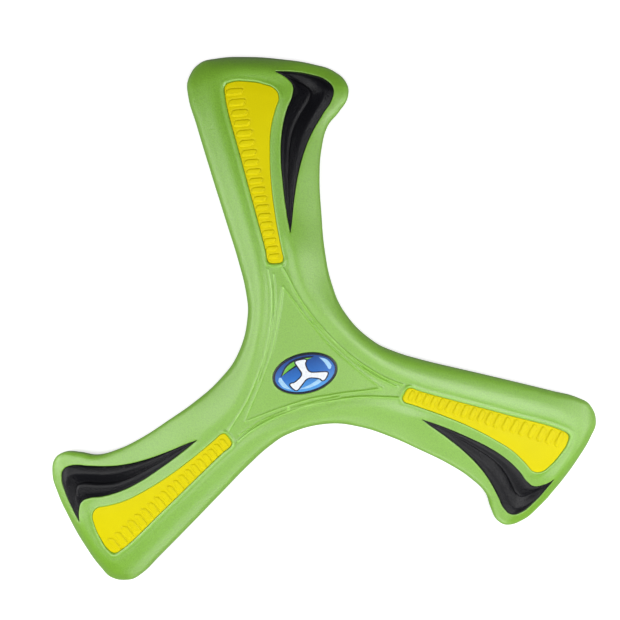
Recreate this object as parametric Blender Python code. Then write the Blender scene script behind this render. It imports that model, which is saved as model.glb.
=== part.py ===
"""Three-blade soft foam boomerang.

A moulded foam body with three identical blades at 120 degrees carries three
smooth wing plates, three ribbed swoosh pads and one centre badge, each bonded
into its own pocket.  Nothing on it moves.

Frame: the flat underside lies on Z = 0, +Z is the decorated face, the origin
is the centre of the three-fold rotation and blade 1 points along +Y.
Design points are in millimetres for blade 1 and are turned for blades 2 and 3.
"""

import math

import bpy
import bmesh
from mathutils import Matrix

# ---------------------------------------------------------------- dimensions
MM = 0.001
BLADES = 3

SLAB_THICK = 10.0      # blade thickness at the trailing shelf
SLAB_ROUND = 4.8       # edge radius all round the outline
DECK_TOP = 12.0        # raised deck that carries the plates and the badge
DECK_ROUND = 1.8       # rounding of the deck's shoulder
FIT_GAP = 0.3          # bonding gap round every inlaid piece

PLATE_TOP = 11.7       # wing plate, just under the deck
PLATE_THICK = 2.0
PLATE_ROUND = 0.35

PAD_TOP = 9.7          # swoosh pad, just under the shelf
PAD_THICK = 2.6
PAD_ROUND = 0.6

BADGE_TOP = 12.0
BADGE_THICK = 0.7
BADGE_LENGTH = 33.0
BADGE_WIDTH = 20.5
BADGE_TURN = 14.0      # degrees, long axis against +X
BADGE_OFFSET = (0.9, -3.7)

# ------------------------------------------------------------- blade 1 lines
# Outline of one blade, from its leading root up, round the tip and the hooked
# toe, and down the trailing edge to the next root.
OUTLINE = [
    (-28.1, 25.6), (-28.9, 37.0), (-32.2, 51.5),          # leading root
    (-38.4, 72.5), (-45.3, 95.6), (-52.0, 118.8),         # leading edge
    (-55.6, 132.0), (-55.4, 140.5), (-50.2, 147.2),       # outer corner
    (-41.5, 149.8), (-27.0, 150.6), (-11.0, 149.6),       # tip
    (5.0, 147.2), (15.0, 144.1), (20.9, 138.8),           # tip into toe
    (21.9, 132.0), (17.8, 125.1), (12.2, 118.2),          # hooked toe
    (9.1, 107.0), (8.2, 93.0), (9.2, 75.4),               # trailing edge
    (10.8, 58.5), (14.3, 41.7), (20.8, 27.0),             # trailing root
]

# Raised deck: shoulder of the leading flank, round the outer end of the plate
# and back along the ridge between plate and pad.
DECK = [
    (-20.6, 27.0), (-20.6, 42.0), (-23.0, 56.0),
    (-30.5, 84.0), (-38.0, 112.0), (-42.3, 131.0),
    (-41.4, 138.6), (-34.5, 141.8), (-24.0, 141.5),
    (-13.5, 139.0), (-7.6, 134.2), (-7.4, 128.0),
    (-10.6, 117.0), (-11.7, 104.0), (-11.0, 92.0),
    (-9.0, 76.0), (-6.0, 60.0), (-0.5, 45.0),
    (7.0, 31.0), (15.5, 20.0),
]

# Wing plate, corner by corner.
PLATE = [
    (-36.9, 131.0), (-36.6, 135.0), (-33.2, 136.8),
    (-26.5, 137.0), (-18.5, 135.8), (-13.0, 133.4),
    (-11.4, 130.0), (-13.0, 124.5), (-15.2, 115.5),
    (-15.8, 104.0), (-15.2, 89.0), (-13.2, 73.0),
    (-10.4, 57.5), (-9.7, 53.4), (-10.5, 52.0),
    (-13.5, 51.4), (-16.4, 51.7), (-17.3, 52.7), (-18.2, 57.2),
    (-22.5, 74.0), (-29.6, 101.0),
]

# Swoosh pad: barb over the ridge's end, round the toe and down to the point.
PAD_BARB = [
    (-12.9, 141.6), (-5.0, 142.3), (3.5, 141.4), (10.5, 139.2),
    (14.5, 135.0), (14.2, 130.6), (9.5, 122.9), (4.8, 115.0),
    (1.1, 106.6), (-1.9, 96.3), (-4.1, 84.0), (-5.6, 70.5),
]
PAD_RETURN = [
    (-6.2, 66.3), (-8.0, 76.5), (-9.7, 90.2), (-10.6, 104.0),
    (-9.9, 115.0), (-7.6, 124.5), (-4.9, 131.2), (-4.7, 135.4),
    (-7.6, 138.9),
]


def turned(points, blade):
    """Points of blade 1 turned clockwise to another blade."""
    a = -2.0 * math.pi * blade / BLADES
    c, s = math.cos(a), math.sin(a)
    return [(x * c - y * s, x * s + y * c) for x, y in points]


def all_blades(points):
    return [p for b in range(BLADES) for p in turned(points, b)]


# -------------------------------------------------------------------- set-up
for old in list(bpy.data.objects):
    bpy.data.objects.remove(old, do_unlink=True)

parts = bpy.data.collections.new("boomerang")
cutters = bpy.data.collections.new("cutters")
bpy.context.scene.collection.children.link(parts)
bpy.context.scene.collection.children.link(cutters)


def material(name, color, roughness):
    mat = bpy.data.materials.new(name)
    mat.use_nodes = True
    shader = next(n for n in mat.node_tree.nodes if n.type == "BSDF_PRINCIPLED")
    shader.inputs["Base Color"].default_value = (*color, 1.0)
    shader.inputs["Roughness"].default_value = roughness
    shader.inputs["Metallic"].default_value = 0.0
    return mat


FOAM_GREEN = material("foam_green", (0.279, 0.558, 0.093), 0.75)
PLATE_YELLOW = material("plate_yellow", (0.823, 0.672, 0.006), 0.38)
PAD_BLACK = material("pad_black", (0.021, 0.021, 0.023), 0.70)
BADGE_BLUE = material("badge_blue", (0.047, 0.223, 0.533), 0.30)


def prism(name, points, z_low, z_high, rounding, steps=3, smooth=3, grow=0.0, sharp=()):
    """Closed slab over a flat outline: a filled 2D Bezier curve, extruded, with
    rounded edges.  grow moves the outline out (or in) for a pocket's clearance.
    Point numbers in sharp keep a corner there."""
    curve = bpy.data.curves.new(name, "CURVE")
    curve.dimensions = "2D"
    curve.fill_mode = "BOTH"
    curve.resolution_u = smooth
    spline = curve.splines.new("BEZIER")
    spline.bezier_points.add(len(points) - 1)
    for i, (point, (x, y)) in enumerate(zip(spline.bezier_points, points)):
        point.co = (x * MM, y * MM, 0.0)
        kind = "VECTOR" if i in sharp else "AUTO"
        point.handle_left_type = point.handle_right_type = kind
    spline.use_cyclic_u = True
    half = 0.5 * (z_high - z_low)
    curve.bevel_depth = rounding * MM
    curve.bevel_resolution = steps
    curve.extrude = (half - rounding) * MM
    curve.offset = (grow - rounding) * MM
    rough = bpy.data.objects.new(name + "_curve", curve)
    rough.location = (0.0, 0.0, 0.5 * (z_low + z_high) * MM)
    cutters.objects.link(rough)
    bpy.context.view_layer.update()
    graph = bpy.context.evaluated_depsgraph_get()
    mesh = bpy.data.meshes.new_from_object(rough.evaluated_get(graph))
    mesh.transform(rough.matrix_world)
    bpy.data.objects.remove(rough, do_unlink=True)
    bm = bmesh.new()
    bm.from_mesh(mesh)
    bmesh.ops.remove_doubles(bm, verts=bm.verts, dist=0.00001)
    bmesh.ops.recalc_face_normals(bm, faces=bm.faces)
    bm.to_mesh(mesh)
    bm.free()
    mesh.name = name
    ob = bpy.data.objects.new(name, mesh)
    return ob


def as_part(ob, mat):
    ob.data.materials.clear()
    ob.data.materials.append(mat)
    ob.data.shade_smooth()
    ob.data.set_sharp_from_angle(angle=math.radians(35))
    parts.objects.link(ob)
    return ob


def as_cutter(ob):
    cutters.objects.link(ob)
    ob.hide_render = True
    ob.display_type = "WIRE"
    return ob


def boolean(ob, other, operation):
    mod = ob.modifiers.new(operation.lower() + "_" + other.name, "BOOLEAN")
    mod.operation = operation
    mod.solver = "EXACT"
    mod.object = other


# ----------------------------------------------------------------- foam body
body = as_part(prism("foam_body", all_blades(OUTLINE), 0.0, SLAB_THICK, SLAB_ROUND), FOAM_GREEN)
deck_low = SLAB_THICK - (DECK_TOP - SLAB_THICK)
deck = as_cutter(prism("deck_block", all_blades(DECK), deck_low, DECK_TOP, DECK_ROUND, steps=2))
boolean(body, deck, "UNION")

PAD = PAD_BARB + PAD_RETURN
PAD_SHARP = (0, len(PAD_BARB))
for blade in range(BLADES):
    n = blade + 1
    # wing plate and its pocket in the deck
    line = turned(PLATE, blade)
    plate_low = PLATE_TOP - PLATE_THICK
    as_part(prism(f"wing_plate_{n}", line, plate_low, PLATE_TOP, PLATE_ROUND, steps=1, smooth=2), PLATE_YELLOW)
    pocket = as_cutter(prism(f"plate_pocket_{n}", line, plate_low - FIT_GAP, DECK_TOP + 2.0, 0.0, steps=0, smooth=2, grow=FIT_GAP))
    boolean(body, pocket, "DIFFERENCE")
    # swoosh pad and its pocket in the trailing shelf
    line = turned(PAD, blade)
    pad_low = PAD_TOP - PAD_THICK
    as_part(prism(f"swoosh_pad_{n}", line, pad_low, PAD_TOP, PAD_ROUND, steps=1, smooth=2, sharp=PAD_SHARP), PAD_BLACK)
    pocket = as_cutter(prism(f"pad_pocket_{n}", line, pad_low - FIT_GAP, SLAB_THICK + 3.0, 0.0, steps=0, smooth=2, grow=FIT_GAP, sharp=PAD_SHARP))
    boolean(body, pocket, "DIFFERENCE")

# --------------------------------------------------------------- centre badge
def oval(length, width, turn, center, count=32):
    a = math.radians(turn)
    c, s = math.cos(a), math.sin(a)
    out = []
    for i in range(count):
        t = -2.0 * math.pi * i / count
        x, y = 0.5 * length * math.cos(t), 0.5 * width * math.sin(t)
        out.append((center[0] + x * c - y * s, center[1] + x * s + y * c))
    return out


line = oval(BADGE_LENGTH, BADGE_WIDTH, BADGE_TURN, BADGE_OFFSET)
badge_low = BADGE_TOP - BADGE_THICK
as_part(prism("centre_badge", line, badge_low, BADGE_TOP, 0.15, steps=1, smooth=1), BADGE_BLUE)
pocket = as_cutter(prism("badge_recess", line, badge_low - FIT_GAP, DECK_TOP + 2.0, 0.0, steps=0, smooth=1, grow=FIT_GAP))
boolean(body, pocket, "DIFFERENCE")
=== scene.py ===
"""Looks of the three-blade foam boomerang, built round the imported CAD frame."""

import math

import bmesh
import bpy
import numpy as np
from mathutils import Matrix, Vector, kdtree
from mathutils.geometry import delaunay_2d_cdt


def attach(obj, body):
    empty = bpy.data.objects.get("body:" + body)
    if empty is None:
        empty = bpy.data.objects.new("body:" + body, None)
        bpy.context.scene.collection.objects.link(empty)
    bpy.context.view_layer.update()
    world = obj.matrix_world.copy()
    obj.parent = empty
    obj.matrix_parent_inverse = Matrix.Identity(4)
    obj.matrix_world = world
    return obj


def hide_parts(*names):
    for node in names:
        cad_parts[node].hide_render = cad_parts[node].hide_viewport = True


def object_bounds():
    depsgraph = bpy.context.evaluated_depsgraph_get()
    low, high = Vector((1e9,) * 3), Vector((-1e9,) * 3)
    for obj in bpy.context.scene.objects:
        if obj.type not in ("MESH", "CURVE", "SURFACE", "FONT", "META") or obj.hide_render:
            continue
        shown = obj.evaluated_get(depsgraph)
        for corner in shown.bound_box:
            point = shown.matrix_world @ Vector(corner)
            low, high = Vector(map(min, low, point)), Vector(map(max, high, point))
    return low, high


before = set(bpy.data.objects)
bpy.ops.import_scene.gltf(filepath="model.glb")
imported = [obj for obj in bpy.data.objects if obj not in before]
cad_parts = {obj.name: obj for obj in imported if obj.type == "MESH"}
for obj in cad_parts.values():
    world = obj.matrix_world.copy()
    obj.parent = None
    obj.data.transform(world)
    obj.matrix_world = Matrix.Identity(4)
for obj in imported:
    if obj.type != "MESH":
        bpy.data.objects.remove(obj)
CAD_LO, CAD_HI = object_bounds()
MM = 0.001
TURN = 2.0 * math.pi / 3.0

# ------------------------------------------------------------------ levels, mm
EDGE_Z = 5.0  # height of the widest line round the outline
CREST_Z = 11.75  # soft crest of the leading flank
SHELF_Z = 10.15  # deck's shoulder beside the swoosh pad
DECK_Z = 10.95  # deck round the plate
HUB_Z = 10.8  # sunken hub panel
PLATE_Z = 11.05
PLATE_FLOOR = 9.2
PAD_FLOOR = 6.4
BADGE_Z = 10.92
BADGE_FLOOR = 10.3

# ------------------------------------------------ design lines of blade 1, in mm
OUTLINE = [
    (-28.1, 25.6), (-28.9, 37.0), (-32.2, 51.5),
    (-38.4, 72.5), (-45.3, 95.6), (-52.0, 118.8),
    (-55.6, 132.0), (-55.5, 140.7), (-50.3, 147.6),
    (-41.5, 150.2), (-27.0, 151.0), (-11.0, 150.0),
    (5.0, 147.6), (15.1, 144.4), (21.0, 138.9),
    (21.9, 132.0), (17.8, 125.1), (12.2, 118.2),
    (9.1, 107.0), (8.2, 93.0), (9.2, 75.4),
    (10.8, 58.5), (14.3, 41.7), (20.8, 27.0),
]
CREST = [
    (-20.6, 27.0), (-20.0, 40.0), (-22.0, 54.0),
    (-29.3, 82.0), (-36.7, 111.0), (-41.2, 130.0),
    (-39.9, 136.8), (-34.2, 139.6), (-24.0, 140.0),
    (-13.8, 138.4), (-7.6, 134.2), (-7.2, 128.0),
    (-10.4, 117.0), (-11.5, 104.0), (-10.8, 92.0),
    (-8.9, 76.0), (-4.8, 60.0), (-2.6, 48.0),
    (1.4, 37.5), (9.8, 25.7), (16.4, 19.1), (24.8, 11.2),
]
PLATE = [
    (-36.9, 131.0), (-36.6, 135.0), (-33.2, 136.8),
    (-26.5, 137.0), (-18.5, 135.8), (-13.0, 133.4),
    (-11.4, 130.0), (-13.0, 124.5), (-15.2, 115.5),
    (-15.8, 104.0), (-15.2, 89.0), (-13.2, 73.0),
    (-10.4, 57.5), (-9.7, 53.4), (-10.5, 52.0),
    (-13.5, 51.4), (-16.4, 51.7), (-17.3, 52.7), (-18.2, 57.2),
    (-22.5, 74.0), (-29.6, 101.0),
]
PAD_OUTER = [
    (-12.9, 141.6), (-5.0, 142.3), (3.5, 141.4), (10.5, 139.2),
    (14.5, 135.0), (14.2, 130.6), (9.5, 122.9), (4.8, 115.0),
    (1.1, 106.6), (-1.9, 96.3), (-4.1, 84.0), (-5.6, 70.5),
]
PAD_INNER = [
    (-6.2, 66.3), (-8.0, 76.5), (-9.7, 90.2), (-10.6, 104.0),
    (-9.9, 115.0), (-7.6, 124.5), (-4.9, 131.2), (-4.7, 135.4),
    (-7.6, 138.9),
]
# valley between the pad's two flutes, from the barb to the point
PAD_VALLEY = [
    (-12.9, 141.6), (-8.2, 139.8), (-3.0, 137.8), (1.4, 135.8), (3.9, 133.0),
    (3.4, 129.2), (0.6, 124.6), (-2.4, 119.5), (-4.7, 114.0), (-6.0, 107.5),
    (-6.6, 100.0), (-6.8, 92.0), (-6.7, 84.0), (-6.5, 76.0), (-6.2, 66.3),
]
# moulded hub lines between blade 1 and blade 2
ARC_OUTER = [
    (-9.8, 49.2), (-7.0, 44.0), (-4.0, 38.2), (-1.0, 33.2), (2.3, 28.5),
    (5.6, 24.2), (9.5, 19.5), (14.1, 14.4), (18.5, 10.1), (24.7, 4.8),
    (29.5, 1.2), (33.8, -1.6), (40.2, -5.3), (44.8, -7.4), (50.5, -9.5),
]
ARC_MIDDLE = [
    (4.4, 23.6), (9.4, 18.1), (16.3, 11.0), (22.1, 5.6), (28.8, 0.0),
    (35.0, -4.3), (41.6, -7.8), (47.1, -10.4),
]
ARC_INNER = [
    (-10.0, 39.8), (-6.2, 35.2), (-3.0, 31.0), (0.3, 26.5), (3.5, 22.4),
    (6.8, 18.5), (11.7, 12.6), (18.1, 6.4), (23.8, 1.4), (28.5, -2.6),
    (33.7, -6.7), (39.4, -11.2),
]
BADGE = dict(length=33.0, width=20.5, turn=14.0, centre=(0.9, -3.7))


# ------------------------------------------------------------------ 2D helpers
def turned(p, blade):
    p = np.asarray(p, float)
    a = -TURN * blade
    c, s = math.cos(a), math.sin(a)
    return np.stack([p[..., 0] * c - p[..., 1] * s, p[..., 0] * s + p[..., 1] * c], -1)


def trace(points, res=12, sharp=(), cyclic=True):
    """The smooth line through the points, as a Bezier curve with auto handles draws it."""
    cu = bpy.data.curves.new("trace", "CURVE")
    cu.dimensions = "2D"
    cu.fill_mode = "NONE"
    cu.resolution_u = res
    sp = cu.splines.new("BEZIER")
    sp.bezier_points.add(len(points) - 1)
    for i, (bp, (x, y)) in enumerate(zip(sp.bezier_points, points)):
        bp.co = (x, y, 0.0)
        bp.handle_left_type = bp.handle_right_type = "VECTOR" if i in sharp else "AUTO"
    sp.use_cyclic_u = cyclic
    ob = bpy.data.objects.new("trace", cu)
    bpy.context.scene.collection.objects.link(ob)
    bpy.context.view_layer.update()
    me = bpy.data.meshes.new_from_object(ob.evaluated_get(bpy.context.evaluated_depsgraph_get()))
    out = np.empty((len(me.vertices), 3))
    me.vertices.foreach_get("co", out.ravel())
    bpy.data.objects.remove(ob)
    bpy.data.curves.remove(cu)
    bpy.data.meshes.remove(me)
    return out[:, :2]


def even(line, step, closed=True):
    """The same line with points at even steps."""
    pts = np.vstack([line, line[:1]]) if closed else line
    run = np.r_[0.0, np.cumsum(np.linalg.norm(np.diff(pts, axis=0), axis=1))]
    n = max(4, int(round(run[-1] / step)))
    t = np.linspace(0.0, run[-1], n + (0 if closed else 1), endpoint=not closed)
    return np.stack([np.interp(t, run, pts[:, 0]), np.interp(t, run, pts[:, 1])], -1)


def area(line):
    x, y = line.T
    return 0.5 * float(np.sum(x * np.roll(y, -1) - np.roll(x, -1) * y))


def offset(line, d, closed=True):
    """The line moved out by d (a closed line), or to its left by d (an open one)."""
    if closed:
        t = np.roll(line, -1, 0) - np.roll(line, 1, 0)
    else:
        t = np.gradient(line, axis=0)
    t /= np.maximum(np.linalg.norm(t, axis=1, keepdims=True), 1e-9)
    n = np.stack([t[:, 1], -t[:, 0]], -1)
    if closed and area(line) < 0:
        n = -n
    if not closed:
        n = -n
    return line + n * d


def distance(line, p, closed=True):
    """Distance from each point to the line."""
    a = line.astype(np.float32)
    b = np.roll(a, -1, 0) if closed else a[1:]
    a = a if closed else a[:-1]
    ab = b - a
    inv = 1.0 / np.maximum((ab * ab).sum(1), 1e-9)
    out = np.empty(len(p), np.float32)
    for i in range(0, len(p), 8192):
        q = p[i : i + 8192].astype(np.float32)
        dx = q[:, None, 0] - a[None, :, 0]
        dy = q[:, None, 1] - a[None, :, 1]
        t = np.clip((dx * ab[:, 0] + dy * ab[:, 1]) * inv, 0.0, 1.0)
        dx -= t * ab[:, 0]
        dy -= t * ab[:, 1]
        out[i : i + 8192] = (dx * dx + dy * dy).min(1)
    return np.sqrt(out)


def inside(line, p):
    """True for points inside the closed line."""
    a, b = line, np.roll(line, -1, 0)
    out = np.zeros(len(p), bool)
    for i in range(0, len(p), 8192):
        q = p[i : i + 8192]
        y0, y1 = a[None, :, 1], b[None, :, 1]
        cross = (y0 > q[:, None, 1]) != (y1 > q[:, None, 1])
        with np.errstate(divide="ignore", invalid="ignore"):
            x = a[None, :, 0] + (q[:, None, 1] - y0) * (b[None, :, 0] - a[None, :, 0]) / (y1 - y0)
        out[i : i + 8192] = (cross & (q[:, None, 0] < x)).sum(1) % 2 == 1
    return out


def signed(line, p):
    """Distance to a closed line, negative inside."""
    return np.where(inside(line, p), -1.0, 1.0) * distance(line, p)


def step(x, lo, hi):
    t = np.clip((x - lo) / (hi - lo), 0.0, 1.0)
    return t * t * (3.0 - 2.0 * t)


def quarter(d, r):
    """A quarter-round of radius r: 0 at the edge, 1 from r inwards."""
    k = 1.0 - np.clip(d / r, 0.0, 1.0)
    return np.sqrt(np.clip(1.0 - k * k, 0.0, 1.0))


def hexgrid(lo, hi, pitch):
    rows = []
    y, k = lo[1], 0
    while y < hi[1]:
        x = np.arange(lo[0] + (0.5 * pitch if k % 2 else 0.0), hi[0], pitch)
        rows.append(np.stack([x, np.full(len(x), y)], -1))
        y += pitch * math.sqrt(0.75)
        k += 1
    return np.vstack(rows)


def clear_of(points, others, gap):
    """Those points that stay gap away from every other point."""
    tree = kdtree.KDTree(len(others))
    for i, q in enumerate(others):
        tree.insert((q[0], q[1], 0.0), i)
    tree.balance()
    keep = [tree.find((q[0], q[1], 0.0))[2] > gap for q in points]
    return points[np.array(keep)]


def triangulate(rings, loose):
    """Delaunay triangles over the rings, which stay as edges, and the loose points.
    rings is a list of (points, closed).  Returns points and triangles."""
    pts, edges = [], []
    n = 0
    for line, closed in rings:
        m = len(line)
        pts.append(line)
        edges += [(n + i, n + (i + 1) % m) for i in range(m if closed else m - 1)]
        n += m
    pts.append(loose)
    pts = np.vstack(pts)
    v, _, f, _, _, _ = delaunay_2d_cdt([Vector(p) for p in pts], edges, [], 0, 1e-5, False)
    v = np.array([(q.x, q.y) for q in v])
    f = np.array([t[:3] for t in f], int)
    a, b, c = v[f[:, 0]], v[f[:, 1]], v[f[:, 2]]
    size = (b[:, 0] - a[:, 0]) * (c[:, 1] - a[:, 1]) - (b[:, 1] - a[:, 1]) * (c[:, 0] - a[:, 0])
    return v, f[np.abs(size) > 4e-5]


def mesh_object(name, co, faces, smooth=True):
    me = bpy.data.meshes.new(name)
    me.from_pydata(co.tolist(), [], faces if isinstance(faces, list) else faces.tolist())
    me.update()
    if smooth:
        me.shade_smooth()
    ob = bpy.data.objects.new(name, me)
    bpy.context.scene.collection.objects.link(ob)
    return ob


# ------------------------------------------------------------ lines, evaluated
one_outline = OUTLINE
outline = even(trace([tuple(p) for b in range(3) for p in turned(one_outline, b)]), 0.8)
crest = even(trace([tuple(p) for b in range(3) for p in turned(CREST, b)]), 0.8)
plate = even(trace(PLATE), 0.5)
PAD = PAD_OUTER + PAD_INNER
pad_raw = trace(PAD, sharp=(0, len(PAD_OUTER)))
pad = even(pad_raw, 0.5)
valley = even(trace(PAD_VALLEY, cyclic=False), 0.5, closed=False)
arc_outer = even(trace(ARC_OUTER, cyclic=False), 0.6, closed=False)
arc_middle = even(trace(ARC_MIDDLE, cyclic=False), 0.6, closed=False)
arc_inner = even(trace(ARC_INNER, cyclic=False), 0.6, closed=False)
t = np.linspace(0.0, 2.0 * math.pi, 160, endpoint=False)
bt = math.radians(BADGE["turn"])
bx, by = 0.5 * BADGE["length"] * np.cos(t), 0.5 * BADGE["width"] * np.sin(t)
badge = np.stack(
    [
        BADGE["centre"][0] + bx * math.cos(bt) - by * math.sin(bt),
        BADGE["centre"][1] + bx * math.sin(bt) + by * math.cos(bt),
    ],
    -1,
)


def fold(p):
    """Every point turned back to blade 1's sector."""
    ang = np.arctan2(p[:, 0], p[:, 1])
    k = np.floor((ang + math.radians(72.0)) / TURN).astype(int) % 3
    out = np.empty_like(p)
    for b in range(3):
        m = k == b
        out[m] = turned(p[m], -b)
    return out


def near_sector(line, closed):
    """Which points of a full line matter to blade 1's sector, as a mask over the line."""
    ang = np.degrees(np.arctan2(line[:, 0], line[:, 1]))
    r = np.hypot(line[:, 0], line[:, 1])
    ok = ((ang > -115) & (ang < 92)) | (r < 55)
    return ok


out_sel = near_sector(outline, True)
crest_sel = near_sector(crest, True)


def part_distance(line, sel, p):
    """Distance to only the chosen points' segments of a closed line."""
    a = line[sel].astype(np.float32)
    b = np.roll(line, -1, 0)[sel].astype(np.float32)
    ab = b - a
    inv = 1.0 / np.maximum((ab * ab).sum(1), 1e-9)
    out = np.empty(len(p), np.float32)
    for i in range(0, len(p), 8192):
        q = p[i : i + 8192].astype(np.float32)
        dx = q[:, None, 0] - a[None, :, 0]
        dy = q[:, None, 1] - a[None, :, 1]
        t = np.clip((dx * ab[:, 0] + dy * ab[:, 1]) * inv, 0.0, 1.0)
        dx -= t * ab[:, 0]
        dy -= t * ab[:, 1]
        out[i : i + 8192] = (dx * dx + dy * dy).min(1)
    return np.sqrt(out)


def rim_z(q):
    """Height of the widest line of the rim: it dips at the blades' tips."""
    return EDGE_Z - 2.3 * step(q[:, 1], 134.0, 144.0)


def base_height(q, in_crest):
    """Broad form of the decorated face for points of blade 1's sector."""
    d_edge = part_distance(outline, out_sel, q)
    d_crest = part_distance(crest, crest_sel, q)
    # the crest sinks to the shelf beside the pad and stays high everywhere else
    trailing = step(q[:, 0] + 0.30 * (q[:, 1] - 95.0), -22.0, -12.0) * step(q[:, 1], 52.0, 78.0)
    trailing *= 1.0 - step(q[:, 1], 132.0, 142.0) * step(-q[:, 0], 4.0, 14.0)
    top = CREST_Z + (SHELF_Z - CREST_Z) * trailing
    # outside the crest: a rounded rim, then a slightly crowned flank
    wide = d_edge + d_crest
    t = d_edge / np.maximum(wide, 1e-6)
    arch = np.sqrt(np.clip(1.0 - (1.0 - t) ** 2, 0.0, 1.0))
    # round the tips it falls more evenly, like a worn bevel
    even_fall = 0.70 * step(q[:, 1], 122.0, 138.0)
    arch += even_fall * ((1.0 - (1.0 - t) ** 2) - arch)
    rim = quarter(d_edge, 2.6)
    # towards the hub the flank is straighter and meets the deck in a clearer line
    bend = 1.4 + 0.6 * step(q[:, 1], 80.0, 108.0)
    bow = 0.36 * rim + 0.64 * (1.0 - (1.0 - t) ** bend)
    share = 1.0 - 0.85 * step(wide, 9.0, 15.0)
    rim_at = rim_z(q)
    flank = rim_at + (top - rim_at) * (share * arch + (1.0 - share) * bow)
    # inside it: down to the deck
    u = np.clip(d_crest / 3.3, 0.0, 1.0)
    deck = top + (DECK_Z - top) * (0.25 * u + 0.75 * u * u)
    return np.where(in_crest, deck, flank), d_edge, d_crest


def relax(z, faces, n, rounds, free):
    """Evens out heights over the mesh, so that creases turn soft."""
    e = np.vstack([faces[:, [0, 1]], faces[:, [1, 2]], faces[:, [2, 0]]])
    e = np.vstack([e, e[:, ::-1]])
    deg = np.bincount(e[:, 0], minlength=n).astype(float)
    for _ in range(rounds):
        s = np.bincount(e[:, 0], weights=z[e[:, 1]], minlength=n)
        z = np.where(free, 0.4 * z + 0.6 * s / np.maximum(deg, 1.0), z)
    return z


# ============================================================= the foam body
FINE = 0.72
rim_steps = [0.03, 0.11, 0.25, 0.45, 0.72, 1.05, 1.5, 2.0, 2.6]
rings = [(outline, True)]
for d in rim_steps:
    rings.append((offset(outline, -d), True))

plates = [turned(plate, b) for b in range(3)]
pads = [turned(pad, b) for b in range(3)]
LIP = [0.75, 0.5, 0.32, 0.2, 0.13]  # rounding of a pocket's mouth, outwards from the inlay
for b in range(3):
    for d in LIP:
        rings.append((offset(plates[b], d), True))
    rings.append((offset(plates[b], 0.10), True))
    rings.append((even(offset(plates[b], -0.6), 2.0), True))


def pad_ring(d, b):
    """A ring round a pad: moved out, and trimmed where it would cross itself at a point."""
    raw = even(pad_raw, 0.5)
    out = offset(raw, d)
    keep = distance(raw, out) > abs(d) * 0.93
    return turned(out[keep], b)


for b in range(3):
    for d in LIP:
        rings.append((pad_ring(d, b), True))
    rings.append((pad_ring(0.10, b), True))
    rings.append((even(pad_ring(-0.5, b), 2.0), True))
for d in (0.7, 0.45, 0.28, 0.16):
    rings.append((offset(badge, d), True))
rings.append((offset(badge, 0.10), True))
rings.append((even(offset(badge, -0.6), 2.0), True))

bead_lines = [(arc_outer, 0.68, 0.54), (arc_middle, 0.50, 0.42), (arc_inner, 0.42, 0.46)]
bead_rings = []
for line, _, w in bead_lines:
    for k in (-1.6, -1.0, -0.55, 0.0, 0.55, 1.0, 1.6):
        for b in range(3):
            bead_rings.append(turned(offset(line, k * w, closed=False), b))

ring_pts = np.vstack([r for r, _ in rings])
bead_pts = clear_of(np.vstack(bead_rings), ring_pts, 0.22)


def thin(points, gap):
    """Drops points closer than gap to one already kept."""
    cell = {}
    keep = []
    for i, (x, y) in enumerate(points):
        cx, cy = int(math.floor(x / gap)), int(math.floor(y / gap))
        ok = True
        for ax in (cx - 1, cx, cx + 1):
            for ay in (cy - 1, cy, cy + 1):
                for j in cell.get((ax, ay), ()):
                    if (points[j, 0] - x) ** 2 + (points[j, 1] - y) ** 2 < gap * gap:
                        ok = False
                        break
                if not ok:
                    break
            if not ok:
                break
        if ok:
            cell.setdefault((cx, cy), []).append(i)
            keep.append(i)
    return points[keep]


bead_pts = thin(bead_pts, 0.24)
grid = hexgrid(outline.min(0) - 1, outline.max(0) + 1, FINE)
grid = grid[inside(offset(outline, -2.6), grid)]
grid = clear_of(grid, np.vstack([ring_pts, bead_pts]), 0.5 * FINE)
covered = np.zeros(len(grid), bool)
for b in range(3):
    covered |= inside(offset(plates[b], -0.6), grid) | inside(pad_ring(-0.5, b), grid)
covered |= inside(offset(badge, -0.6), grid)
sparse = grid[covered][::9]
grid = np.vstack([grid[~covered], sparse, bead_pts])

top_v, top_f = triangulate(rings, grid)
cen = top_v[top_f].mean(1)
top_f = top_f[inside(outline, cen)]
nt = len(top_v)

q = fold(top_v)
in_crest = inside(crest, top_v)
z, d_edge, d_crest = base_height(q, in_crest)
soft = relax(z, top_f, nt, 9, d_edge > 0.8)
z += (soft - z) * step(d_edge, 2.2, 5.0)

# lip that stands round the plate's leading side, from its inner end to the corner
s_plate = signed(plate, q)
lead = step(-(q[:, 0] + 0.262 * (q[:, 1] - 52.0) + 14.6), -2.0, 1.0)
lead = np.maximum(lead, 1.0 - step(q[:, 1], 52.0, 55.0))
z += step(2.05 - s_plate, 0.0, 0.6) * 0.32 * lead
z += 0.20 * np.exp(-(((s_plate - 1.25) / 0.36) ** 2)) * lead
z += step(1.5 - s_plate, 0.0, 0.6) * 0.22 * (1.0 - lead)
# it swells into a low collar round the narrow inner end
collar = 1.0 - step(q[:, 1], 51.5, 55.5)
z += 0.50 * np.exp(-(((s_plate - 1.3) / 0.70) ** 2)) * collar * step(-np.abs(q[:, 0] + 14.0), -5.5, -3.5)

# hub: panel a little lower, and the moulded lines as beads with a groove beside them
for line, h, w in bead_lines:
    for b in (0, 2):
        d = distance(turned(line, b), q, closed=False)
        z += h * np.exp(-((d / w) ** 2)) - 0.05 * h * np.exp(-(((d - 1.75 * w) / (0.7 * w)) ** 2))
panel = np.vstack([turned(arc_inner, b) for b in range(3)])
panel = panel[np.argsort(np.arctan2(panel[:, 0], panel[:, 1]))]
s_panel = signed(panel, top_v)
z += (HUB_Z - DECK_Z) * step(-s_panel, -0.2, 1.2)


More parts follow.
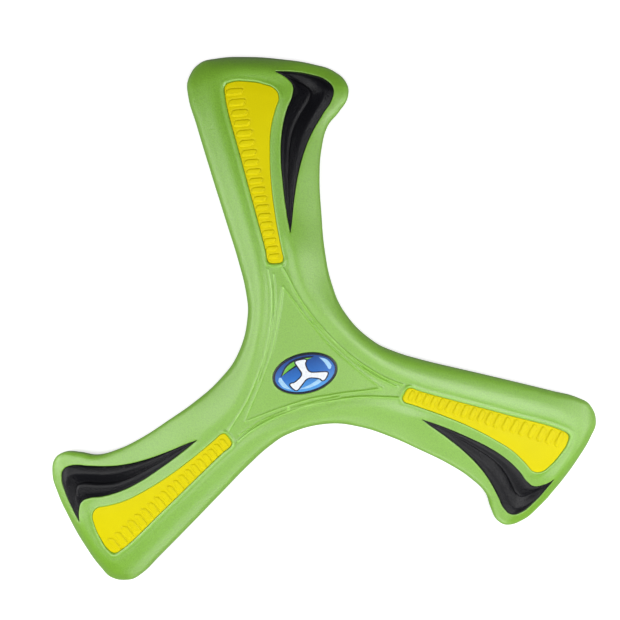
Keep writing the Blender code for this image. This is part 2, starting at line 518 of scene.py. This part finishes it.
def pocket(z, s, floor):
    """Rounds the mouth of a pocket and drops its wall to the floor.  s is the distance
    outwards from the inlay's edge."""
    mouth = np.clip((0.80 - s) / 0.68, 0.0, 1.0)
    z = z - 0.42 * (1.0 - np.sqrt(np.clip(1.0 - mouth * mouth, 0.0, 1.0)))
    return np.where(s < 0.115, floor, z)


s_pad = signed(pad, q)
z = pocket(z, s_plate, PLATE_FLOOR)
z = pocket(z, s_pad, PAD_FLOOR)
s_badge = signed(badge, top_v)
z = np.where(s_badge < 3.0, pocket(z, s_badge, BADGE_FLOOR), z)
z[: len(outline)] = rim_z(fold(outline))

# underside: flat, with a rounded rim
under_steps = [0.05, 0.2, 0.5, 0.95, 1.6, 2.5, 3.6, 5.0]
rings_u = [(outline, True)] + [(offset(outline, -d), True) for d in under_steps[:5]]
rings_u += [(even(offset(outline, -d), 1.3), True) for d in under_steps[5:]]
low = hexgrid(outline.min(0) - 1, outline.max(0) + 1, 2.6)
low = low[inside(offset(outline, -5.0), low)]
low = clear_of(low, np.vstack([r for r, _ in rings_u]), 1.2)
low_v, low_f = triangulate(rings_u, low)
low_f = low_f[inside(outline, low_v[low_f].mean(1))]
d_low = distance(outline, low_v)
r = 1.0 - np.clip(d_low / 5.0, 0.0, 1.0)
z_low = rim_z(fold(low_v)) * (1.0 - np.sqrt(np.clip(1.0 - r * r, 0.0, 1.0)))
z_low[: len(outline)] = rim_z(fold(outline))

co = np.vstack([np.c_[top_v, z], np.c_[low_v, z_low]]) * MM
faces = np.vstack([top_f, low_f[:, ::-1] + nt])
body = mesh_object("foam_body_skin", co, faces)
bm = bmesh.new()
bm.from_mesh(body.data)
bmesh.ops.remove_doubles(bm, verts=bm.verts, dist=2e-6)
loose = [v for v in bm.verts if not v.link_faces]
bmesh.ops.delete(bm, geom=loose, context="VERTS")
bmesh.ops.recalc_face_normals(bm, faces=bm.faces)
open_edges = sum(1 for e in bm.edges if len(e.link_faces) != 2)
bm.to_mesh(body.data)
bm.free()
body.data.shade_smooth()
print("body", len(body.data.vertices), "verts", len(body.data.polygons), "faces, open edges", open_edges)
body.data.set_sharp_from_angle(angle=math.radians(55))


# ============================================================ inlays, one builder
def inlay(name, rings, loose, border, height, floor):
    """A closed inlay: a top of the given height over flat sides and a flat base.
    rings start with the border; height(points) gives the top in mm."""
    v, f = triangulate(rings, loose)
    f = f[inside(border, v[f].mean(1))]
    used = np.zeros(len(v), bool)
    used[f.ravel()] = True
    n = len(v)
    m = len(border)
    z = height(v)
    co = np.vstack([np.c_[v, z], np.c_[border, np.full(m, floor)]]) * MM
    walls = []
    ccw = area(border) > 0
    for i in range(m):
        j = (i + 1) % m
        walls.append((i, n + i, n + j, j) if ccw else (i, j, n + j, n + i))
    base = list(range(n, n + m))
    faces = [tuple(int(k) for k in t) for t in f] + walls + [tuple(reversed(base)) if ccw else tuple(base)]
    ob = mesh_object(name, co, faces)
    bm = bmesh.new()
    bm.from_mesh(ob.data)
    bmesh.ops.delete(bm, geom=[w for w in bm.verts if not w.link_faces], context="VERTS")
    gaps = [e for e in bm.edges if len(e.link_faces) == 1]
    if gaps:
        bmesh.ops.holes_fill(bm, edges=gaps, sides=12)
    bmesh.ops.recalc_face_normals(bm, faces=bm.faces)
    bad = sum(1 for e in bm.edges if len(e.link_faces) != 2)
    bm.to_mesh(ob.data)
    bm.free()
    ob.data.shade_smooth()
    ob.data.set_sharp_from_angle(angle=math.radians(50))
    print(name, len(ob.data.vertices), "verts, open edges", bad)
    return ob


def copies(ob, names):
    out = [ob]
    for b, name in enumerate(names[1:], 1):
        c = bpy.data.objects.new(name, ob.data.copy())
        bpy.context.scene.collection.objects.link(c)
        c.data.transform(Matrix.Rotation(-TURN * b, 4, "Z"))
        out.append(c)
    ob.name = names[0]
    return out


# ------------------------------------------------------------ yellow wing plates
def rib(cx, cy, long, wide, lean, along):
    """A slanted grip rib with round ends, as a closed line."""
    a = np.linspace(0.0, 2.0 * math.pi, 48, endpoint=False)
    u = np.sign(np.cos(a)) * np.abs(np.cos(a)) ** 0.42 * 0.5 * long
    w = np.sign(np.sin(a)) * np.abs(np.sin(a)) ** 0.42 * 0.5 * wide
    u = u + lean * w
    c, s = math.cos(along), math.sin(along)
    return even(np.stack([cx + u * c - w * s, cy + u * s + w * c], -1), 0.42)


def plate_side(y):
    """Leading edge of the plate at height y."""
    return -17.8 - 0.2545 * (y - 55.0)


bars = []
y = 54.9
for i in range(19):
    grow = i / 18.0
    long, wide = 5.0 + 2.6 * grow, 2.1 + 0.7 * grow
    bars.append(rib(plate_side(y) + 1.0 + 0.3 * grow + 0.5 * long, y, long, wide, 0.45, math.radians(4.0)))
    y += 3.75 + 1.15 * grow

plate_rings = [(plate, True)] + [(offset(plate, -d), True) for d in (0.04, 0.12, 0.24, 0.40, 0.62, 0.9)]
for line in bars:
    plate_rings += [(offset(line, d), True) for d in (0.55, 0.34, 0.14, 0.0, -0.12, -0.26)]
pg = hexgrid(plate.min(0), plate.max(0), 0.62)
pg = pg[inside(offset(plate, -1.1), pg)]
pg = clear_of(pg, np.vstack([r for r, _ in plate_rings]), 0.22)


def plate_height(v):
    d = np.maximum(-signed(plate, v), 0.0)
    z = PLATE_Z - 0.5 + 0.5 * quarter(d, 0.55) + 0.16 * step(d, 0.3, 5.0)
    for line in bars:
        s = -signed(line, v)
        z += 0.50 * step(s, -0.14, 0.22) - 0.16 * np.exp(-(((s + 0.34) / 0.22) ** 2))
    return z


plate_one = inlay("wing_plate_skin_1", plate_rings, pg, plate, plate_height, PLATE_FLOOR + 0.15)
plate_obs = copies(plate_one, ["wing_plate_skin_1", "wing_plate_skin_2", "wing_plate_skin_3"])

# ------------------------------------------------------------- black swoosh pads
def pad_inset(d):
    raw = even(pad_raw, 0.45)
    out = offset(raw, -d)
    keep = (distance(raw, out) > d * 0.93) & inside(raw, out)
    return out[keep]


pad_border = even(pad_raw, 0.45)
pad_rings = [(pad_border, True)]
loose_pad = []
for d in (0.05, 0.14, 0.27, 0.44, 0.66):
    loose_pad.append(pad_inset(d))
for d in (-0.9, -0.6, -0.35, -0.15, 0.0, 0.15, 0.35, 0.6, 0.9):
    line = offset(valley, d, closed=False)
    loose_pad.append(line[inside(pad_border, line) & (distance(pad_border, line) > 0.5)])
kg = hexgrid(pad_border.min(0), pad_border.max(0), 0.5)
kg = kg[inside(pad_border, kg)]
kg = kg[distance(pad_border, kg) > 0.8]
loose_pad = thin(np.vstack(loose_pad), 0.11)
kg = clear_of(kg, loose_pad, 0.24)
loose_pad = clear_of(np.vstack([loose_pad, kg]), pad_border, 0.03)


def pad_height(v):
    base, _, _ = base_height(v, inside(crest, v))
    d_b = distance(pad_border, v)
    d_v = distance(valley, v, closed=False)
    w = d_b + d_v
    # which flute: left or right of the valley
    a, b = valley[:-1], valley[1:]
    mid = 0.5 * (a + b)
    tree = kdtree.KDTree(len(mid))
    for i, m in enumerate(mid):
        tree.insert((m[0], m[1], 0.0), i)
    tree.balance()
    near = np.array([tree.find((q[0], q[1], 0.0))[1] for q in v])
    t = b[near] - a[near]
    r = v - mid[near]
    left = (t[:, 0] * r[:, 1] - t[:, 1] * r[:, 0]) < 0  # inner flute, beside the plate
    room = step(w, 1.2, 6.0)
    s = d_v / np.maximum(w, 1e-3)
    deep = 0.25 + 0.85 * room
    # inner flute: up from the border to a crest, level, then down steeply into the valley
    tall = 0.08 + 0.50 * room
    fall = quarter(d_v, 1.7)
    inner = -deep + (tall + deep) * fall - (tall + 0.12) * step(s, 0.62, 1.02)
    # outer flute: a long rise from the valley, a crest and a rounded fall to the border
    high = 0.10 + 0.88 * room
    u = np.clip(s / 0.60, 0.0, 1.0)
    over = np.clip((s - 0.60) / 0.40, 0.0, 1.0)
    outer = -deep + (high + deep) * (0.62 * u + 0.38 * u * u * (3.0 - 2.0 * u)) - (high + 0.10) * over ** 1.7
    lobe = np.where(left, inner, outer)
    edge = quarter(d_b, 0.6)
    z = base - 0.10 + lobe * (0.30 + 0.70 * edge) - 0.30 * (1.0 - edge)
    ridge = np.exp(-(((d_b - 1.5) / 0.45) ** 2)) * (~left) * step(v[:, 1], 126.0, 133.0)
    return z + 0.08 * ridge


pad_one = inlay("swoosh_pad_skin_1", pad_rings, loose_pad, pad_border, pad_height, PAD_FLOOR + 0.15)
pad_obs = copies(pad_one, ["swoosh_pad_skin_1", "swoosh_pad_skin_2", "swoosh_pad_skin_3"])

# ------------------------------------------------------------------ centre badge
def local(u, v):
    c, s = math.cos(bt), math.sin(bt)
    return np.stack([BADGE["centre"][0] + u * c - v * s, BADGE["centre"][1] + u * s + v * c], -1)


def oval(inset, n=150):
    a = np.linspace(0.0, 2.0 * math.pi, n, endpoint=False)
    return local((0.5 * BADGE["length"] - inset) * np.cos(a), (0.5 * BADGE["width"] - inset) * np.sin(a))


def flyer(size, grow=0.0, spin=0.0, at=(0.0, 0.0), squeeze=0.92):
    """A small three-blade flyer, drawn from the part's own outline."""
    line = even(outline, 2.6) * size
    if grow:
        line = offset(line, grow)
    a = math.radians(spin)
    x = line[:, 0] * math.cos(a) - line[:, 1] * math.sin(a)
    y2 = line[:, 0] * math.sin(a) + line[:, 1] * math.cos(a)
    return local(at[0] + x * 1.18, at[1] + y2 * squeeze)


def streak(pts, sharp):
    return even(local(*np.array(trace(pts, sharp=sharp)).T), 0.4)


vanes = [flyer(0.058, at=(0.6, -0.9))]
rims = [flyer(0.058, grow=0.62, at=(0.6, -0.9))]
leaf_hi = streak([(-11.4, 1.6), (-7.6, 5.6), (-1.0, 7.5), (5.6, 7.0), (0.4, 6.3), (-5.6, 4.4)], (0, 3))
leaf_hi_rim = streak([(-12.6, 1.0), (-8.2, 6.2), (-1.0, 8.4), (6.9, 7.6), (0.6, 5.5), (-5.2, 3.7)], (0, 3))
leaf_lo = streak([(11.6, -1.4), (8.0, -5.5), (1.4, -7.6), (-5.4, -7.2), (-0.2, -6.4), (5.9, -4.4)], (0, 3))
leaf_l = streak([(-14.0, -0.6), (-12.4, -4.2), (-8.6, -6.6), (-10.2, -4.0), (-11.6, -1.0), (-12.6, 0.9)], (0, 2))
leaf_r = streak([(14.0, 0.8), (12.4, 4.2), (8.8, 6.4), (10.4, 4.0), (11.6, 1.2), (12.6, -0.8)], (0, 2))
badge_rings = [(badge, True)] + [(oval(d), True) for d in (0.05, 0.16, 0.32, 0.55, 0.85, 1.05, 1.2, 1.35)]
art = rims + vanes + [leaf_hi, leaf_hi_rim, leaf_lo, leaf_l, leaf_r]
bg = hexgrid(badge.min(0), badge.max(0), 0.42)
bg = bg[inside(oval(1.5), bg)]
art_pts = np.vstack(art)
bg = clear_of(bg, art_pts, 0.2)
badge_rings += [(line, True) for line in art]


def badge_height(v):
    d = np.maximum(-signed(badge, v), 0.0)
    e = np.clip(d / 10.0, 0.0, 1.0)
    z = BADGE_Z - 0.2 + 0.2 * quarter(d, 0.3) - 0.10 * step(d, 0.95, 1.35) + 0.22 * (1.0 - (1.0 - e) ** 2)
    for line in vanes + [leaf_hi, leaf_lo]:
        z += 0.06 * step(-signed(line, v), -0.10, 0.25)
    return z


badge_ob = inlay("centre_badge_skin", badge_rings, bg, badge, badge_height, BADGE_FLOOR + 0.05)


# =================================================================== materials
def material(name):
    m = bpy.data.materials.new(name)
    m.use_nodes = True
    nt_ = m.node_tree
    return m, nt_, nt_.nodes["Principled BSDF"]


def node(tree, kind, **kw):
    n = tree.nodes.new(kind)
    for k, v in kw.items():
        if k in n.inputs:
            n.inputs[k].default_value = v
        else:
            setattr(n, k, v)
    return n


def ramp(tree, fac, stops):
    n = tree.nodes.new("ShaderNodeValToRGB")
    el = n.color_ramp.elements
    while len(el) < len(stops):
        el.new(0.5)
    for e, (p, c) in zip(el, stops):
        e.position = p
        e.color = (*c, 1.0) if len(c) == 3 else c
    tree.links.new(fac, n.inputs["Fac"])
    return n.outputs["Color"]


def mix(tree, fac, a, b, kind="MIX"):
    n = tree.nodes.new("ShaderNodeMix")
    n.data_type = "RGBA"
    n.blend_type = kind
    for sock, v in ((0, fac), (6, a), (7, b)):
        if hasattr(v, "default_value") or hasattr(v, "links"):
            tree.links.new(v, n.inputs[sock])
        elif sock == 0:
            n.inputs[0].default_value = v
        else:
            n.inputs[sock].default_value = (*v, 1.0)
    return n.outputs[2]


def pebbled(name, colour, dark, light, rough, grain, bump, spec, speck=0.10, edge_highlight_strength=0.10):
    """Moulded foam: a pebbled skin, mottled a little, with pores, painted shade in the pebbles' hollows and a painted
    highlight on its convex edges.
    """
    m, tree, p = material(name)
    co = tree.nodes.new("ShaderNodeTexCoord").outputs["Object"]
    link = tree.links.new
    broad = node(tree, "ShaderNodeTexNoise", Scale=32.0, Detail=4.0, Roughness=0.55)
    fine = node(tree, "ShaderNodeTexNoise", Scale=grain * 1.9, Detail=3.0, Roughness=0.6)
    cells = node(tree, "ShaderNodeTexVoronoi", Scale=grain, feature="SMOOTH_F1", Smoothness=0.55)
    pores = node(tree, "ShaderNodeTexVoronoi", Scale=grain * 0.36, feature="F1", Randomness=1.0)
    for n in (broad, fine, cells, pores):
        link(co, n.inputs["Vector"])
    base = ramp(tree, broad.outputs["Fac"], [(0.34, dark), (0.52, colour), (0.70, light)])
    # darker towards each pebble's edge, where the bump sinks the skin: painted shade in the grain's hollows
    pebble_hollow_shade = ramp(tree, cells.outputs["Distance"], [(0.0, (1.0, 1.0, 1.0)), (0.75, (0.80, 0.80, 0.80))])
    base = mix(tree, 1.0, base, pebble_hollow_shade, "MULTIPLY")
    spk = ramp(tree, fine.outputs["Fac"], [(0.36, (1.0 - speck,) * 3), (0.64, (1.0 + speck,) * 3)])
    base = mix(tree, 1.0, base, spk, "MULTIPLY")
    # convex edges, beads and lips made paler by pointiness: a painted highlight
    geo = tree.nodes.new("ShaderNodeNewGeometry")
    edge = node(tree, "ShaderNodeMath", operation="MULTIPLY_ADD")
    link(geo.outputs["Pointiness"], edge.inputs[0])
    edge.inputs[1].default_value = 22.0
    edge.inputs[2].default_value = -11.10
    edge.use_clamp = True
    painted_edge_highlight = tree.nodes.new("ShaderNodeMath")
    painted_edge_highlight.operation = "MULTIPLY"
    link(edge.outputs[0], painted_edge_highlight.inputs[0])
    painted_edge_highlight.inputs[1].default_value = edge_highlight_strength
    base = mix(tree, painted_edge_highlight.outputs[0], base, tuple(min(1.0, c * 1.25 + 0.08) for c in light))
    link(base, p.inputs["Base Color"])
    rr = tree.nodes.new("ShaderNodeMapRange")
    link(fine.outputs["Fac"], rr.inputs["Value"])
    rr.inputs["From Min"].default_value = 0.3
    rr.inputs["From Max"].default_value = 0.7
    rr.inputs["To Min"].default_value = rough - 0.06
    rr.inputs["To Max"].default_value = rough + 0.08
    link(rr.outputs[0], p.inputs["Roughness"])
    p.inputs["Specular IOR Level"].default_value = spec
    p.inputs["IOR"].default_value = 1.5 if spec < 1.0 else 1.54
    pore = tree.nodes.new("ShaderNodeMapRange")
    link(pores.outputs["Distance"], pore.inputs["Value"])
    pore.inputs["From Min"].default_value = 0.0
    pore.inputs["From Max"].default_value = 0.16
    b1 = tree.nodes.new("ShaderNodeBump")
    b1.inputs["Strength"].default_value = 1.0
    b1.inputs["Distance"].default_value = bump
    b1.invert = True
    link(cells.outputs["Distance"], b1.inputs["Height"])
    b2 = tree.nodes.new("ShaderNodeBump")
    b2.inputs["Strength"].default_value = 1.0
    b2.inputs["Distance"].default_value = bump * 0.6
    link(fine.outputs["Fac"], b2.inputs["Height"])
    link(b1.outputs[0], b2.inputs["Normal"])
    b3 = tree.nodes.new("ShaderNodeBump")
    b3.inputs["Strength"].default_value = 1.0
    b3.inputs["Distance"].default_value = bump * 0.35
    link(pore.outputs[0], b3.inputs["Height"])
    link(b2.outputs[0], b3.inputs["Normal"])
    link(b3.outputs[0], p.inputs["Normal"])
    return m


GREEN = (0.230, 0.504, 0.034)
# the last figure sets how strongly convex edges and beads are painted paler, a painted highlight; the black pads keep
# the smaller default
m_green = pebbled("green_eva_foam", GREEN, (0.223, 0.491, 0.032), (0.237, 0.517, 0.037), 0.35, 1700.0, 0.00006, 1.0, 0.07, 0.80)
m_black = pebbled("black_eva_foam", (0.0068, 0.0068, 0.0088), (0.0060, 0.0060, 0.0078), (0.0080, 0.0080, 0.0102), 0.21, 1700.0, 0.00010, 0.20)


def satin(name, colour, light, rough, bump):
    """Moulded sheet plastic: a fine spark-eroded skin and a faint flow mottle."""
    m, tree, p = material(name)
    link = tree.links.new
    co = tree.nodes.new("ShaderNodeTexCoord").outputs["Object"]
    flow = node(tree, "ShaderNodeTexNoise", Scale=60.0, Detail=3.0, Distortion=0.8)
    skin = node(tree, "ShaderNodeTexNoise", Scale=2600.0, Detail=2.0)
    for n in (flow, skin):
        link(co, n.inputs["Vector"])
    base = ramp(tree, flow.outputs["Fac"], [(0.35, colour), (0.68, light)])
    spk = ramp(tree, skin.outputs["Fac"], [(0.35, (0.965,) * 3), (0.65, (1.02,) * 3)])
    base = mix(tree, 1.0, base, spk, "MULTIPLY")
    link(base, p.inputs["Base Color"])
    rr = tree.nodes.new("ShaderNodeMapRange")
    link(flow.outputs["Fac"], rr.inputs["Value"])
    rr.inputs["To Min"].default_value = rough - 0.07
    rr.inputs["To Max"].default_value = rough + 0.07
    link(rr.outputs[0], p.inputs["Roughness"])
    p.inputs["Specular IOR Level"].default_value = 0.12
    b = tree.nodes.new("ShaderNodeBump")
    b.inputs["Distance"].default_value = bump
    link(skin.outputs["Fac"], b.inputs["Height"])
    link(b.outputs[0], p.inputs["Normal"])
    return m


m_yellow = satin("yellow_satin_plate", (0.690, 0.605, 0.001), (0.718, 0.632, 0.001), 0.42, 0.000015)


def print_material(name, stops=None, colour=None, rough=0.25):
    """Glossy print; with stops it is a gradient across the badge's short side."""
    m, tree, p = material(name)
    link = tree.links.new
    co = tree.nodes.new("ShaderNodeTexCoord").outputs["Object"]
    skin = node(tree, "ShaderNodeTexNoise", Scale=900.0, Detail=2.0)
    link(co, skin.inputs["Vector"])
    if stops:
        mp = tree.nodes.new("ShaderNodeMapping")
        mp.vector_type = "TEXTURE"
        mp.inputs["Location"].default_value = (BADGE["centre"][0] * MM, BADGE["centre"][1] * MM, 0.0)
        mp.inputs["Rotation"].default_value = (0.0, 0.0, bt)
        link(co, mp.inputs["Vector"])
        sep = tree.nodes.new("ShaderNodeSeparateXYZ")
        link(mp.outputs[0], sep.inputs[0])
        rg = tree.nodes.new("ShaderNodeMapRange")
        link(sep.outputs["Y"], rg.inputs["Value"])
        rg.inputs["From Min"].default_value = -0.5 * BADGE["width"] * MM
        rg.inputs["From Max"].default_value = 0.5 * BADGE["width"] * MM
        base = ramp(tree, rg.outputs[0], stops)
    else:
        base = ramp(tree, skin.outputs["Fac"], [(0.3, tuple(0.93 * c for c in colour)), (0.7, colour)])
    dots = ramp(tree, skin.outputs["Fac"], [(0.35, (0.96,) * 3), (0.65, (1.03,) * 3)])
    base = mix(tree, 1.0, base, dots, "MULTIPLY")
    link(base, p.inputs["Base Color"])
    p.inputs["Roughness"].default_value = rough
    b = tree.nodes.new("ShaderNodeBump")
    b.inputs["Distance"].default_value = 0.000006
    link(skin.outputs["Fac"], b.inputs["Height"])
    link(b.outputs[0], p.inputs["Normal"])
    return m


m_navy = print_material("badge_navy_print", colour=(0.006, 0.010, 0.030))
m_sky = print_material("badge_blue_print", stops=[(0.0, (0.10, 0.38, 0.80)), (0.45, (0.02, 0.15, 0.52)), (1.0, (0.006, 0.035, 0.20))])
m_white = print_material("badge_white_print", colour=(0.82, 0.86, 0.90))
m_leaf = print_material("badge_green_print", colour=(0.16, 0.52, 0.05))
m_pale = print_material("badge_pale_print", colour=(0.36, 0.62, 0.86))

body.data.materials.append(m_green)
for ob in plate_obs:
    ob.data.materials.append(m_yellow)
for ob in pad_obs:
    ob.data.materials.append(m_black)
me = badge_ob.data
for m in (m_navy, m_sky, m_white, m_leaf, m_pale):
    me.materials.append(m)
cen = np.array([p.center[:2] for p in me.polygons]) / MM
inner_field = inside(oval(1.2), cen)
index = np.where(inner_field, 1, 0)
for lines, k in (((leaf_l, leaf_r), 4), ((leaf_lo,), 4), ((leaf_hi_rim,), 0), ((leaf_hi,), 3), (rims, 0), (vanes, 2)):
    for line in lines:
        index[inside(line, cen) & inner_field] = k
top = np.array([p.normal.z > 0.3 for p in me.polygons])
index[~top] = 0
me.polygons.foreach_set("material_index", index.astype(np.int32))
me.update()

# ================================================================ what rides what
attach(body, "root")
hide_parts("foam_body")
for b in range(3):
    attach(plate_obs[b], "root")
    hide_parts("wing_plate_%d" % (b + 1))
    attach(pad_obs[b], "root")
    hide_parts("swoosh_pad_%d" % (b + 1))
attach(badge_ob, "root")
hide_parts("centre_badge")

# ==================================================================== the studio
floor_me = bpy.data.meshes.new("studio_floor")
bmf = bmesh.new()
bmesh.ops.create_circle(bmf, cap_ends=True, radius=6.0, segments=96)
bmf.to_mesh(floor_me)
bmf.free()
floor = bpy.data.objects.new("studio_floor", floor_me)
bpy.context.scene.collection.objects.link(floor)
floor.location.z = CAD_LO[2] - 0.00005
m_floor, tree, p = material("pale_floor")
seen = tree.nodes.new("ShaderNodeLightPath").outputs["Is Camera Ray"]
tree.links.new(mix(tree, seen, (0.28, 0.28, 0.28), (0.66, 0.66, 0.66)), p.inputs["Base Color"])
p.inputs["Emission Color"].default_value = (1.0, 1.0, 1.0, 1.0)
glow = node(tree, "ShaderNodeMath", operation="MULTIPLY")
tree.links.new(seen, glow.inputs[0])
# the sweep stays pale where the lamps' pool of light ends
far = node(tree, "ShaderNodeVectorMath", operation="LENGTH")
tree.links.new(tree.nodes.new("ShaderNodeTexCoord").outputs["Object"], far.inputs[0])
lift = node(tree, "ShaderNodeMapRange", interpolation_type="SMOOTHSTEP")
tree.links.new(far.outputs["Value"], lift.inputs["Value"])
lift.inputs["From Min"].default_value = 0.22
lift.inputs["From Max"].default_value = 0.85
lift.inputs["To Min"].default_value = 0.60
lift.inputs["To Max"].default_value = 0.90
tree.links.new(lift.outputs[0], glow.inputs[1])
tree.links.new(glow.outputs[0], p.inputs["Emission Strength"])
p.inputs["Roughness"].default_value = 0.9
p.inputs["Specular IOR Level"].default_value = 0.1
floor_me.materials.append(m_floor)


def softbox(name, at, aim, size, power, colour=(1.0, 1.0, 1.0)):
    li = bpy.data.lights.new(name, "AREA")
    li.shape = "RECTANGLE"
    li.size, li.size_y = size
    li.energy = power
    li.color = colour
    ob = bpy.data.objects.new(name, li)
    bpy.context.scene.collection.objects.link(ob)
    ob.location = at
    ob.rotation_euler = (Vector(aim) - Vector(at)).to_track_quat("-Z", "Y").to_euler()
    ob.visible_camera = False
    return ob


def bank(name, at, size, share):
    """A softbox aimed at the part; share is its part of the light on a level surface."""
    reach = math.sqrt(at[0] ** 2 + at[1] ** 2 + at[2] ** 2)
    return softbox(name, at, (0.0, 0.0, 0.0), size, share * math.pi ** 2 * reach ** 3 / at[2])


bank("softbox_left_high", (-0.15, -0.04, 0.42), (0.22, 0.14), 0.14)
bank("softbox_left", (-0.26, 0.01, 0.34), (0.34, 0.13), 0.20)
bank("softbox_left_low", (-0.38, -0.03, 0.15), (0.34, 0.16), 0.13)
bank("softbox_right_high", (0.13, -0.04, 0.42), (0.22, 0.14), 0.15)
bank("softbox_right_back", (0.22, 0.06, 0.38), (0.14, 0.13), 0.12)
bank("softbox_right", (0.27, -0.08, 0.34), (0.24, 0.14), 0.16)
bank("softbox_right_low", (0.38, -0.01, 0.15), (0.36, 0.16), 0.10)
bank("softbox_front", (0.0, -0.26, 0.36), (0.36, 0.14), 0.10)
bank("softbox_front_low", (0.05, -0.38, 0.16), (0.32, 0.16), 0.09)

world = bpy.data.worlds.new("studio_world")
bpy.context.scene.world = world
world.use_nodes = True
wt = world.node_tree
bgn = wt.nodes["Background"]
lp = wt.nodes.new("ShaderNodeLightPath")
wm = wt.nodes.new("ShaderNodeMapRange")
wt.links.new(lp.outputs["Is Camera Ray"], wm.inputs["Value"])
wm.inputs["To Min"].default_value = 0.05
wm.inputs["To Max"].default_value = 0.95
bgn.inputs["Color"].default_value = (1.0, 1.0, 1.0, 1.0)
wt.links.new(wm.outputs[0], bgn.inputs["Strength"])
bpy.context.scene.view_settings.view_transform = "Standard"

cam = bpy.data.cameras.new("camera")
cam.sensor_width = 36.0
cam.lens = 29.03
cam.clip_start = 0.005
cam_ob = bpy.data.objects.new("camera", cam)
bpy.context.scene.collection.objects.link(cam_ob)
ahead = Vector((0.0030478, -0.1059966, -0.9943618))
above = Vector((0.000162, 0.9943665, -0.1059966))
side = ahead.cross(above).normalized()
rot = Matrix((side, side.cross(ahead).normalized(), -ahead.normalized())).transposed()
cam_ob.matrix_world = Matrix.Translation((0.0026978, 0.0546315, 0.2573022)) @ rot.to_4x4()
bpy.context.scene.camera = cam_ob
